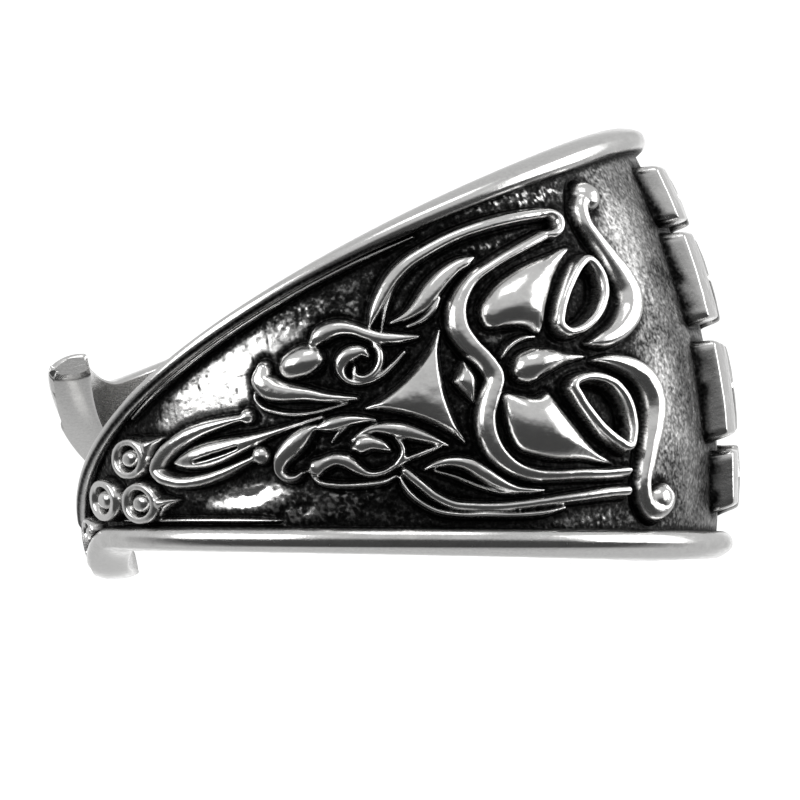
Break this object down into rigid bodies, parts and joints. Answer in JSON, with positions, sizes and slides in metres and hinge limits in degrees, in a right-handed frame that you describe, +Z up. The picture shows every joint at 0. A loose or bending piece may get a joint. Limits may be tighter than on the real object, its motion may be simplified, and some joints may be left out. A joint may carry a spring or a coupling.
{
  "type": "finger ring",
  "caption": "Wide cast silver finger ring, open at the back, with rounded rims, raised scroll ornament on a darkened field and plain raised tiles on the front.",
  "frame": {"origin": "centre of the bounding box on the surface that the ring rests on", "axes": "+Z up; +X towards the wide front of the ring; -Y towards the side that the picture shows; the finger hole runs nearly along Z, its top leaning 10.3 degrees towards -X"},
  "size_m": [0.0246, 0.024, 0.0154],
  "materials": {
    "silver": "polished rims and ridges over a blackened, grained field"
  },
  "bodies": {
    "root": {"cast_ring": "silver"}
  },
  "joints": []
}
